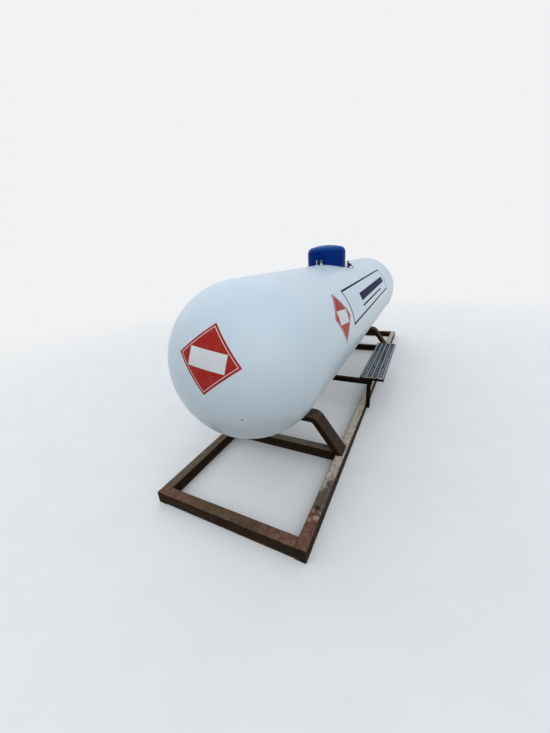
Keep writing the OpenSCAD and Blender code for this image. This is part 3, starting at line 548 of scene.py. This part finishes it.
def head_reach(rho):
    """How far a head's outside stands beyond its flange's far edge, at a distance from the tank's axis."""
    if rho <= CROWN_R * math.sin(CROWN_ANGLE):
        return math.sqrt(CROWN_R ** 2 - rho ** 2) - CROWN_DROP
    return math.sqrt(max(KNUCKLE_R ** 2 - (rho - TANK_R + KNUCKLE_R) ** 2, 0.0))


def head_point(x, z, side=-1, lift=0.0):
    """A point on the near (side -1) or far (side 1) head over x and z, lifted off the surface."""
    def at(px, pz):
        rho = min(math.hypot(px - TANK_X, pz - AXIS_Z), TANK_R)
        return Vector((px, TANK_Y + side * (SHELL_HALF + HEAD_FLANGE + head_reach(rho)), pz))
    here = at(x, z)
    small = 1e-4
    normal = (at(x + small, z) - here).cross(at(x, z + small) - here).normalized()
    if normal.y * side < 0:
        normal = -normal
    return here + normal * lift


# Marks seen on the near head (place, radius, depth): a chip low down and a row of faint scuffs
HEAD_MARKS = [
    (head_point(0.1078, 0.8012), 0.0056, 0.95),
    (head_point(0.1140, 0.7990), 0.0036, 0.85),
    (head_point(0.279, 0.935), 0.0065, 0.13),
    (head_point(0.292, 0.931), 0.0050, 0.11),
    (head_point(0.314, 0.933), 0.0055, 0.10),
    (head_point(0.330, 0.936), 0.0065, 0.12),
]

# Colours on top of the brown steel: weathered ones, and DARK_TOP, which is painted shade on the step and the
# weld seams' own dark tone
KHAKI = (0.122, 0.074, 0.047)
DULL = (0.108, 0.086, 0.062)
DARK_TOP = (0.023, 0.0140, 0.0080)
GREY_TOP = (0.215, 0.188, 0.148)
WARM_TOP = (0.152, 0.113, 0.085)
LEG_TOP = (0.092, 0.062, 0.046)

# The looks and the pieces that wear them
WHITE = white_paint()
LUG_LOOK = shaded_lug_paint()
BROWN_TIE = brown_paint("brown_tie_paint", GREY_TOP, ALONG_X, dust=0.30, rust=0.10, seed=4.4)
BROWN_FRAME = brown_paint("brown_frame_paint", DULL, ALONG_X, dust=0.25, rust=0.20)
BROWN_NEAR = brown_paint("brown_near_tube_paint", KHAKI, ALONG_X, dust=0.20, rust=0.35, seed=3.1)
BROWN_LEFT = brown_paint("brown_left_runner_paint", WARM_TOP, dust=0.20, rust=0.30, seed=5.7, red=RED_SHORT)
BROWN_WORN = brown_paint("brown_right_runner_paint", KHAKI, dust=0.30, rust=0.45, seed=8.3, worn=0.95)
# Painted shade: the saddle frames lie under the tank, and shade=0.75 darkens their paint for its shadow
BROWN_SADDLE_SHADED = brown_paint("brown_saddle_shaded_paint", LEG_TOP, ALONG_X, dust=0.06, rust=0.05, shade=0.75, seed=1.9,
                           rub=0.0)
# Painted shade: the step's arms, posts, hangers and angles take shade=0.40 and the dark DARK_TOP for the
# tank's shadow on them
BROWN_STEP_SHADED = brown_paint("brown_step_shaded_paint", DARK_TOP, ALONG_X, dust=0.08, rust=0.05, shade=0.40, seed=6.4)
BROWN_SEAM = brown_paint("brown_seam_paint", DARK_TOP, ALONG_X, dust=0.05, rust=0.10, shade=0.50, seed=2.6)
BLUE = blue_paint()
ZINC = galvanised()
STEEL = metal("plain_steel", (0.30, 0.30, 0.31), (0.50, 0.50, 0.51), rough=(0.30, 0.48), metallic=1.0,
              tarnish=(0.12, 0.07, 0.04), amount=0.5)
BRASS = metal("brass_fitting", (0.50, 0.33, 0.12), (0.68, 0.49, 0.22), rough=(0.30, 0.46), metallic=1.0,
              tarnish=(0.16, 0.10, 0.05), amount=0.4)
GAUGE = metal("gauge_metal", (0.52, 0.53, 0.54), (0.68, 0.69, 0.70), rough=(0.30, 0.44), metallic=1.0,
              tarnish=(0.25, 0.25, 0.25), amount=0.3)
DARK = metal("dark_valve", (0.010, 0.010, 0.011), (0.028, 0.028, 0.030), rough=(0.35, 0.55), metallic=0.2,
             tarnish=(0.07, 0.06, 0.05), amount=0.35)
RED_FILM = sign_film("red_sign_film", (0.400, 0.020, 0.015), (0.455, 0.066, 0.054), gloss=0.10)
WHITE_FILM = sign_film("white_sign_film", (0.76, 0.80, 0.84), (0.68, 0.70, 0.72), 0.5)
NAVY_FILM = sign_film("navy_sign_film", (0.002, 0.007, 0.056), (0.005, 0.014, 0.078), dirt=0.02, gloss=0.01)

LOOKS = {
    "white_tank": WHITE, "brown_frame": BROWN_FRAME, "blue_hood": BLUE, "galvanised_plank": ZINC,
    "plain_steel": STEEL, "brass_fitting": BRASS, "gauge_metal": GAUGE, "dark_valve": DARK,
}
OWN_LOOKS = {"near_end_tube": BROWN_NEAR, "left_runner": BROWN_LEFT, "right_runner": BROWN_WORN}
for end in ("near_", "far_"):
    OWN_LOOKS[end + "saddle_tie"] = BROWN_TIE
    OWN_LOOKS[end + "lifting_lug"] = LUG_LOOK
    for part in ("saddle_beam", "left_leg", "right_leg"):
        OWN_LOOKS[end + part] = BROWN_SADDLE_SHADED
    for part in ("step_arm", "step_post", "step_hanger", "step_angle"):
        OWN_LOOKS[end + part] = BROWN_STEP_SHADED
slot_of = {s["node"]: s["material_slot"] for s in frame["record"]["subparts"]}
for name, made in nodes.items():
    look = OWN_LOOKS.get(name, LOOKS[slot_of[name]])
    made.data.materials.clear()
    made.data.materials.append(look)


# Weld beads
GIRTH_POINTS = 1440
GIRTH_W = 0.011
GIRTH_HEAD_H = 0.0013
GIRTH_COURSE_H = 0.0007
SEAM_ANGLES = (-38, -62, -38)
SEAM_W = 0.010
SEAM_H = 0.0006
SEAM_SHORT = 0.004


def ring_weld(name, y, height):
    """A girth weld round the shell."""
    angles = [2 * math.pi * i / GIRTH_POINTS for i in range(GIRTH_POINTS)]
    b = Build()
    b.crown([tank_point(a, y) for a in angles], [tank_out(a) for a in angles], Vector((0, 1, 0)),
            GIRTH_W, height, closed=True, seed=y)
    b.piece(name, [WHITE])


def seam_welds(name):
    """One lengthwise seam on each course of the shell, on the side away from the step."""
    b = Build()
    for i, degrees in enumerate(SEAM_ANGLES):
        angle = math.radians(degrees)
        start = TANK_Y - SHELL_HALF + i * COURSE_L
        y0, y1 = start + SEAM_SHORT, start + COURSE_L - SEAM_SHORT
        path = straight(tank_point(angle, y0), tank_point(angle, y1))
        across = Vector((math.cos(angle), 0, -math.sin(angle)))
        b.crown(path, [tank_out(angle)] * len(path), across, SEAM_W, SEAM_H, seed=i)
    b.piece(name, [WHITE])


ring_weld("near_head_weld", TANK_Y - SHELL_HALF, GIRTH_HEAD_H)
ring_weld("near_course_weld", TANK_Y - COURSE_L / 2, GIRTH_COURSE_H)
ring_weld("far_course_weld", TANK_Y + COURSE_L / 2, GIRTH_COURSE_H)
ring_weld("far_head_weld", TANK_Y + SHELL_HALF, GIRTH_HEAD_H)
seam_welds("shell_seam_welds")


def weld(b, start, end, radius, seed, ripple=0.2):
    """A straight fillet weld between two points."""
    b.sweep(straight(start, end), radius, ripple, seed)


def skid_welds(name, y, end):
    """Welds at both ends of a cross tube; end is -1 or 1 where its outer face is flush and ground smooth."""
    radius = 0.0036
    half = RUNNER_W / 2
    top_short, top_sunk = 0.007, 0.0027
    side_low, side_short = 0.010, 0.008
    side_off, end_off = 0.0008, 0.001
    z = RUNNER_H - top_sunk
    b = Build()
    for hand in (-1, 1):
        x = TANK_X + hand * (HALF_W - RUNNER_W)
        weld(b, (x, y - half + top_short, z), (x, y + half - top_short, z), radius, x + y)
        inner = x - hand * end_off
        for face in (-1, 1):
            if face != end:
                at = y + face * (half + side_off)
                weld(b, (inner, at, side_low), (inner, at, RUNNER_H - side_short), radius, x - y)
    b.piece(name, [BROWN_SEAM])


skid_welds("near_end_tube_welds", -SKID_HALF + RUNNER_W / 2, -1)
skid_welds("far_end_tube_welds", SKID_HALF - RUNNER_W / 2, 1)
skid_welds("near_saddle_tie_welds", NEAR_SADDLE_Y, 0)
skid_welds("far_saddle_tie_welds", FAR_SADDLE_Y, 0)


def foot_welds(name, y):
    """Fillet welds where a saddle frame's legs stand on the runners."""
    radius = 0.0048
    off, short = 0.0012, 0.006
    half = SADDLE_W / 2
    z = RUNNER_H + 0.0008
    b = Build()
    for hand in (-1, 1):
        outer = TANK_X + hand * (FOOT_OUT + off)
        x0 = TANK_X + hand * (HALF_W - RUNNER_W + 0.008)
        x1 = TANK_X + hand * (FOOT_OUT - short)
        weld(b, (outer, y - half + short, z), (outer, y + half - short, z), radius, hand)
        for face in (-1, 1):
            at = y + face * (half + off)
            weld(b, (x0, at, z), (x1, at, z), radius, face)
    b.piece(name, [BROWN_SADDLE_SHADED])


foot_welds("near_foot_welds", NEAR_SADDLE_Y)
foot_welds("far_foot_welds", FAR_SADDLE_Y)


def step_welds(name, hand):
    """Welds from post to runner and arm, round the hanger's foot, and under the plank's end angle."""
    radius, angle_radius = 0.0038, 0.0030
    post_short, hanger_short, angle_short = 0.008, 0.001, 0.012
    y = STEP_Y + hand * (PLANK_L / 2 + ANGLE_T - ARM_W / 2)
    side = TANK_X + HALF_W
    half = ARM_W / 2
    arm_low = ARM_TOP - ARM_W
    hanger_z = ARM_TOP + 0.0005
    b = Build()
    for face in (-1, 1):
        at = y + face * (POST_W / 2 + 0.0008)
        weld(b, (side + 0.002, at, POST_LOW + 0.002), (side + 0.002, at, RUNNER_H - 0.009), radius, y)
        weld(b, (side + post_short, at, arm_low), (side + POST_W - post_short, at, arm_low), radius, face)
        x0, x1 = TANK_X - half + hanger_short, TANK_X + half - hanger_short
        y0, y1 = y - half + hanger_short, y + half - hanger_short
        weld(b, (x0, y + face * half, hanger_z), (x1, y + face * half, hanger_z), radius, 3)
        weld(b, (TANK_X + face * half, y0, hanger_z), (TANK_X + face * half, y1, hanger_z), radius, 4)
    for x in (side, side + POST_W):
        y0, y1 = y - POST_W / 2 + post_short, y + POST_W / 2 - post_short
        weld(b, (x, y0, arm_low), (x, y1, arm_low), radius, 2)
    x0, x1 = TANK_X + PLANK_OUT - PLANK_W + angle_short, TANK_X + HALF_W + ARM_W - angle_short
    inner = STEP_Y + hand * (PLANK_L / 2 + ANGLE_T - ANGLE_W - 0.0005)
    angle_z = ARM_TOP + 0.0010
    weld(b, (x0, inner, angle_z), (x1, inner, angle_z), angle_radius, 5)
    b.piece(name, [BROWN_STEP_SHADED])


step_welds("near_step_welds", -1)
step_welds("far_step_welds", 1)


def pad_welds(name, y):
    """Fillet welds along the curved and straight edges of a wear pad under the tank."""
    radius, ripple, lift, step = 0.0035, 0.18, 0.0012, 0.0035
    end_off, edge_off = 0.0006, 0.0015
    half = PAD_W / 2
    count = round(2 * PAD_HALF_ANGLE * TANK_R / step)
    turns = [math.pi - PAD_HALF_ANGLE + 2 * PAD_HALF_ANGLE * i / count for i in range(count + 1)]
    b = Build()
    for face in (-1, 1):
        at = y + face * (half + end_off)
        b.sweep([tank_point(a, at, lift) for a in turns], radius, ripple, at, up=(0, 1, 0))
        edge = math.pi + face * (PAD_HALF_ANGLE + edge_off)
        weld(b, tank_point(edge, y - half, lift), tank_point(edge, y + half, lift), radius, at, ripple)
    b.piece(name, [WHITE])


pad_welds("near_wear_pad_welds", NEAR_SADDLE_Y)
pad_welds("far_wear_pad_welds", FAR_SADDLE_Y)


def lug_welds(name, y):
    """Fillet welds along both sides of a lifting lug's plates."""
    half = LUG_L / 2 - 0.001
    lift = 0.0012
    outside, inside = (LUG_OUT + 0.0015, 0.0034), (LUG_IN - 0.0012, 0.0026)
    b = Build()
    for hand in (-1, 1):
        for x, radius in (outside, inside):
            angle = math.asin(hand * x / TANK_R)
            weld(b, tank_point(angle, y - half, lift), tank_point(angle, y + half, lift), radius, x)
    b.piece(name, [WHITE])


lug_welds("near_lug_welds", HOOD_Y - LUG_Y)
lug_welds("far_lug_welds", HOOD_Y + LUG_Y)


# Bolts
STUD_TURNS = 6


def bolt(b, at, radius, head_h, stud=0.0, down=False):
    """A hexagon head or nut on its washer and, where asked, the end of a stud."""
    place = Matrix.Translation(at) @ (Matrix.Rotation(math.pi, 4, "X") if down else Matrix.Identity(4))
    low = radius * 0.28
    high = low + head_h
    b.lathe([(radius * 1.22, 0.0), (radius * 1.22, radius * 0.22), (radius * 1.14, low)], place, 28)
    b.lathe([(radius, low), (radius, low + head_h * 0.82), (radius * 0.88, high)], place, 6, turn=at[0] * 40)
    if stud:
        pitch = stud / STUD_TURNS
        profile = [(radius * 0.5, high)]
        for i in range(STUD_TURNS):
            profile.append((radius * 0.54, high + (i + 0.35) * pitch))
            profile.append((radius * 0.47, high + (i + 0.85) * pitch))
        profile.append((radius * 0.40, high + stud + 0.0008))
        b.lathe(profile, place, 16)


def foot_bolts(name, y):
    """Nuts on the base plates of a saddle's tank feet."""
    from_end, sunk = 0.0252, 0.0002
    b = Build()
    for hand in (-1, 1):
        for face in (-1, 1):
            at = (TANK_X + hand * FOOT_X, y + face * (FOOT_L / 2 - from_end), SADDLE_TOP + FOOT_T - sunk)
            bolt(b, Vector(at), 0.0138, 0.012, stud=0.009)
    b.piece(name, [STEEL])


foot_bolts("near_tank_foot_bolts", NEAR_SADDLE_Y)
foot_bolts("far_tank_foot_bolts", FAR_SADDLE_Y)


def plank_bolts(name):
    """Bolts through the plank's lips and the end angles: heads above, nuts below where there is no arm."""
    radius, off = 0.0055, 0.0001
    from_end, from_lip = 0.014, 0.008
    outer, inner = TANK_X + PLANK_OUT - from_lip, TANK_X + PLANK_OUT - PLANK_W + from_lip
    b = Build()
    for hand in (-1, 1):
        y = STEP_Y + hand * (PLANK_L / 2 - from_end)
        for x in (outer, inner):
            bolt(b, Vector((x, y, PLANK_TOP - PLANK_DEPTH + PLANK_T - off)), radius, 0.0045)
        bolt(b, Vector((outer, y, ARM_TOP + off)), radius, 0.0050, stud=0.004, down=True)
    b.piece(name, [STEEL])


plank_bolts("plank_bolts")


# Signs: thin films that follow the tank's surface
FILM_LIFT = 0.0002
FILM_T = 0.0006
FILM_STEP_U = 0.018
FILM_STEP_V = 0.012


def refine(values, step):
    """The values in order, with more between them so that none lie further apart than step."""
    values = sorted(values)
    out = []
    for a, c in zip(values, values[1:]):
        n = max(1, math.ceil((c - a) / step))
        out += [a + (c - a) * i / n for i in range(n)]
    return out + [values[-1]]


def film(name, point_at, cells, materials):
    """A film of rectangular cells (u0, u1, v0, v1, material), set on the surface by point_at(u, v, lift)."""
    us = refine({round(c[i], 6) for c in cells for i in (0, 1)}, FILM_STEP_U)
    vs = refine({round(c[i], 6) for c in cells for i in (2, 3)}, FILM_STEP_V)
    kind = {}
    for i in range(len(us) - 1):
        for j in range(len(vs) - 1):
            u, v = (us[i] + us[i + 1]) / 2, (vs[j] + vs[j + 1]) / 2
            for u0, u1, v0, v1, material in cells:
                if u0 < u < u1 and v0 < v < v1:
                    kind[i, j] = material
    index, verts = {}, []

    def corner(i, j, top):
        if (i, j, top) not in index:
            index[i, j, top] = len(verts)
            verts.append(point_at(us[i], vs[j], FILM_LIFT + (FILM_T if top else 0.0)))
        return index[i, j, top]

    faces, slots = [], []
    for (i, j), material in kind.items():
        quad = [(i, j), (i + 1, j), (i + 1, j + 1), (i, j + 1)]
        beside = [(i, j - 1), (i + 1, j), (i, j + 1), (i - 1, j)]
        faces.append([corner(*at, True) for at in quad])
        faces.append([corner(*at, False) for at in reversed(quad)])
        slots += [material, material]
        for here, after, neighbour in zip(quad, quad[1:] + quad[:1], beside):
            if neighbour not in kind:
                rim = ((here, False), (after, False), (after, True), (here, True))
                faces.append([corner(*at, top) for at, top in rim])
                slots.append(material)
    b = Build()
    b.add(verts, faces, slots)
    b.piece(name, materials)


SIGN = 0.273
SIGN_EDGE = 0.0115
SIGN_LINE = 0.0035
BLANK_W = 0.224
BLANK_H = 0.103
BLANK_LIFT = 0.0007


def frame_cells(half_w, half_h, line, material):
    """The four bars of a rectangular outline of the given line width, inside its outer half sizes."""
    w, h = half_w - line, half_h - line
    return [(-half_w, half_w, h, half_h, material), (-half_w, half_w, -half_h, -h, material),
            (-half_w, -w, -half_h, half_h, material), (w, half_w, -half_h, half_h, material)]


def shell_place(side, y, arc, turn):
    """Lays (u, v) on the shell round a centre at y and at an arc length from the top."""
    def at(u, v, lift):
        c, s = math.cos(turn), math.sin(turn)
        along, up = u * c - v * s, u * s + v * c
        return tank_point(side * (arc - up) / TANK_R, y + along, lift)
    return at


def head_place(side, x, z, turn):
    """Lays (u, v) on a head round a centre, first on the tangent plane and then straight onto the surface."""
    here = head_point(x, z, side)
    out = (head_point(x, z, side, 1.0) - here).normalized()
    level = Vector((0, 0, 1)).cross(out).normalized()
    rise = out.cross(level)
    rounds = 8

    def at(u, v, lift):
        c, s = math.cos(turn), math.sin(turn)
        p = here + level * (u * c - v * s) + rise * (u * s + v * c)
        for _ in range(rounds):
            q = head_point(p.x, p.z, side)
            p += out * (q - p).dot(out)
        return head_point(p.x, p.z, side, lift)
    return at


def sign(name, place):
    """A hazard-style sign with nothing printed on it: a red square on its corner, and a level blank panel."""
    half = SIGN / 2
    cells = [(-half, half, -half, half, 0)] + frame_cells(half - SIGN_EDGE, half - SIGN_EDGE, SIGN_LINE, 1)
    film(name, place(math.radians(45)), cells, [RED_FILM, WHITE_FILM])
    level = place(0.0)
    blank = [(-BLANK_W / 2, BLANK_W / 2, -BLANK_H / 2, BLANK_H / 2, 0)]
    film(name + "_panel", lambda u, v, lift: level(u, v, lift + BLANK_LIFT), blank, [WHITE_FILM])


sign("near_head_sign", lambda turn: head_place(-1, -0.0372, 1.1444, math.radians(-10.1) + turn))
sign("far_head_sign", lambda turn: head_place(1, TANK_X, 1.120, turn))
sign("right_side_sign", lambda turn: shell_place(1, TANK_Y - 1.378, 0.631, math.radians(-5.5) + turn))
sign("left_side_sign", lambda turn: shell_place(-1, TANK_Y + 1.381, 0.632, turn))


PANEL_L = 2.198
PANEL_H = 0.309
PANEL_LINE = 0.017
PANEL_BARS = [(-0.62, 0.92, -0.030, 0.045, 0), (-0.62, 0.55, -0.085, -0.068, 0)]
PANEL_ARC = 0.580


def name_panel(name, side, turn):
    """A long outlined panel with plain bars, as a bare place for an owner's marking."""
    place = shell_place(side, TANK_Y - 0.0174, PANEL_ARC, turn)
    cells = frame_cells(PANEL_L / 2, PANEL_H / 2, PANEL_LINE, 0) + PANEL_BARS
    film(name, lambda u, v, lift: place(u * side, v, lift), cells, [NAVY_FILM])


name_panel("right_side_panel", 1, math.radians(1.2))
name_panel("left_side_panel", -1, 0.0)


# Floor, sky and lights
BACKDROP = (0.875, 0.885, 0.895, 1.0)
SKY = (0.91, 0.955, 1.0, 1)
SKY_LEVEL = 0.74
FLOOR_FAR = 90.0
FLOOR_SEEN = (0.905, 0.910, 0.915), (0.925, 0.930, 0.935)
FLOOR_BOUNCE = (0.275, 0.238, 0.200)
FADE_START = 3.2
FADE_END = 9.0
LIGHT_SPREAD = 75
LIGHT_AWAY = 6


def seen_directly(g):
    """1 for camera, glossy and transmission rays, 0 for the rays that carry light between surfaces."""
    path = g.new("ShaderNodeLightPath")
    seen = g.math("MAXIMUM", path.outputs["Is Camera Ray"], path.outputs["Is Glossy Ray"])
    return g.math("MAXIMUM", seen, path.outputs["Is Transmission Ray"])


def stage():
    """A pale floor that fades into the backdrop far out, and throws back less light than the camera sees."""
    mesh = bpy.data.meshes.new("floor")
    corners = [(x * FLOOR_FAR, y * FLOOR_FAR, 0) for x, y in ((-1, -1), (1, -1), (1, 1), (-1, 1))]
    mesh.from_pydata(corners, [], [(0, 1, 2, 3)])
    floor = bpy.data.objects.new("floor", mesh)
    bpy.context.scene.collection.objects.link(floor)
    g = Graph("pale_floor")
    seen = seen_directly(g)
    speckle = g.mix(g.band(g.noise(3.0, 5.0), 0.3, 0.7), *FLOOR_SEEN)
    g.finish(g.mix(seen, FLOOR_BOUNCE, speckle), 0.9, Specular_IOR_Level=0.0)
    away = g.new("ShaderNodeVectorMath", operation="LENGTH")
    g.put(away.inputs[0], g.coord)
    glow = g.new("ShaderNodeEmission")
    glow.inputs[0].default_value = BACKDROP
    blend = g.new("ShaderNodeMixShader")
    g.put(blend.inputs[0], g.times(g.band(away.outputs["Value"], FADE_START, FADE_END), seen))
    g.tree.links.new(g.bsdf.outputs[0], blend.inputs[1])
    g.tree.links.new(glow.outputs[0], blend.inputs[2])
    g.tree.links.new(blend.outputs[0], g.out.inputs[0])
    mesh.materials.append(g.mat)


def world():
    """Even sky light, with the pale backdrop where the camera sees it."""
    made = bpy.data.worlds.new("sky")
    bpy.context.scene.world = made
    made.use_nodes = True
    tree = made.node_tree
    tree.nodes.clear()
    out = tree.nodes.new("ShaderNodeOutputWorld")
    sky = tree.nodes.new("ShaderNodeBackground")
    backdrop = tree.nodes.new("ShaderNodeBackground")
    sky.inputs[0].default_value = SKY
    sky.inputs[1].default_value = SKY_LEVEL
    backdrop.inputs[0].default_value = BACKDROP
    path = tree.nodes.new("ShaderNodeLightPath")
    mix = tree.nodes.new("ShaderNodeMixShader")
    tree.links.new(path.outputs["Is Camera Ray"], mix.inputs[0])
    tree.links.new(sky.outputs[0], mix.inputs[1])
    tree.links.new(backdrop.outputs[0], mix.inputs[2])
    tree.links.new(mix.outputs[0], out.inputs[0])


def soft_sun(name, towards, level):
    """A broad even light from a direction; level is how bright it makes a white surface that faces it."""
    data = bpy.data.lights.new(name, "SUN")
    data.energy = level * math.pi
    data.angle = math.radians(LIGHT_SPREAD)
    made = bpy.data.objects.new(name, data)
    made.rotation_euler = Vector(towards).to_track_quat("Z", "Y").to_euler()
    made.location = Vector(towards) * LIGHT_AWAY
    bpy.context.scene.collection.objects.link(made)


# Camera, solved from points read in the photo
CAMERA_AT = Vector((0.91379, -3.51780, 1.60338))
YAW, PITCH, ROLL = -0.4852, 0.3600, -0.0692
FOCAL_PX = 286.9175
PHOTO_W_PX = 550
SENSOR_W = 36.0
CLIP_END = 400


def camera():
    """The photo's view: looking along yaw and pitch, with the level and upward directions turned by roll."""
    look = Vector((math.sin(YAW) * math.cos(PITCH), math.cos(YAW) * math.cos(PITCH), -math.sin(PITCH)))
    level = Vector((math.cos(YAW), -math.sin(YAW), 0.0))
    rise = level.cross(look)
    right = level * math.cos(ROLL) + rise * math.sin(ROLL)
    up = rise * math.cos(ROLL) - level * math.sin(ROLL)
    data = bpy.data.cameras.new("camera")
    data.sensor_fit = "HORIZONTAL"
    data.sensor_width = SENSOR_W
    data.lens = FOCAL_PX * SENSOR_W / PHOTO_W_PX
    data.clip_end = CLIP_END
    made = bpy.data.objects.new("camera", data)
    turn = Matrix((right, up, -look)).transposed().to_4x4()
    made.matrix_world = Matrix.Translation(CAMERA_AT) @ turn
    bpy.context.scene.collection.objects.link(made)
    bpy.context.scene.camera = made


stage()
world()
soft_sun("key_light", (0.55, -0.62, 0.56), 0.20)
soft_sun("fill_light", (-0.60, 0.45, 0.66), 0.10)
camera()
bpy.context.scene.view_settings.view_transform = "Standard"
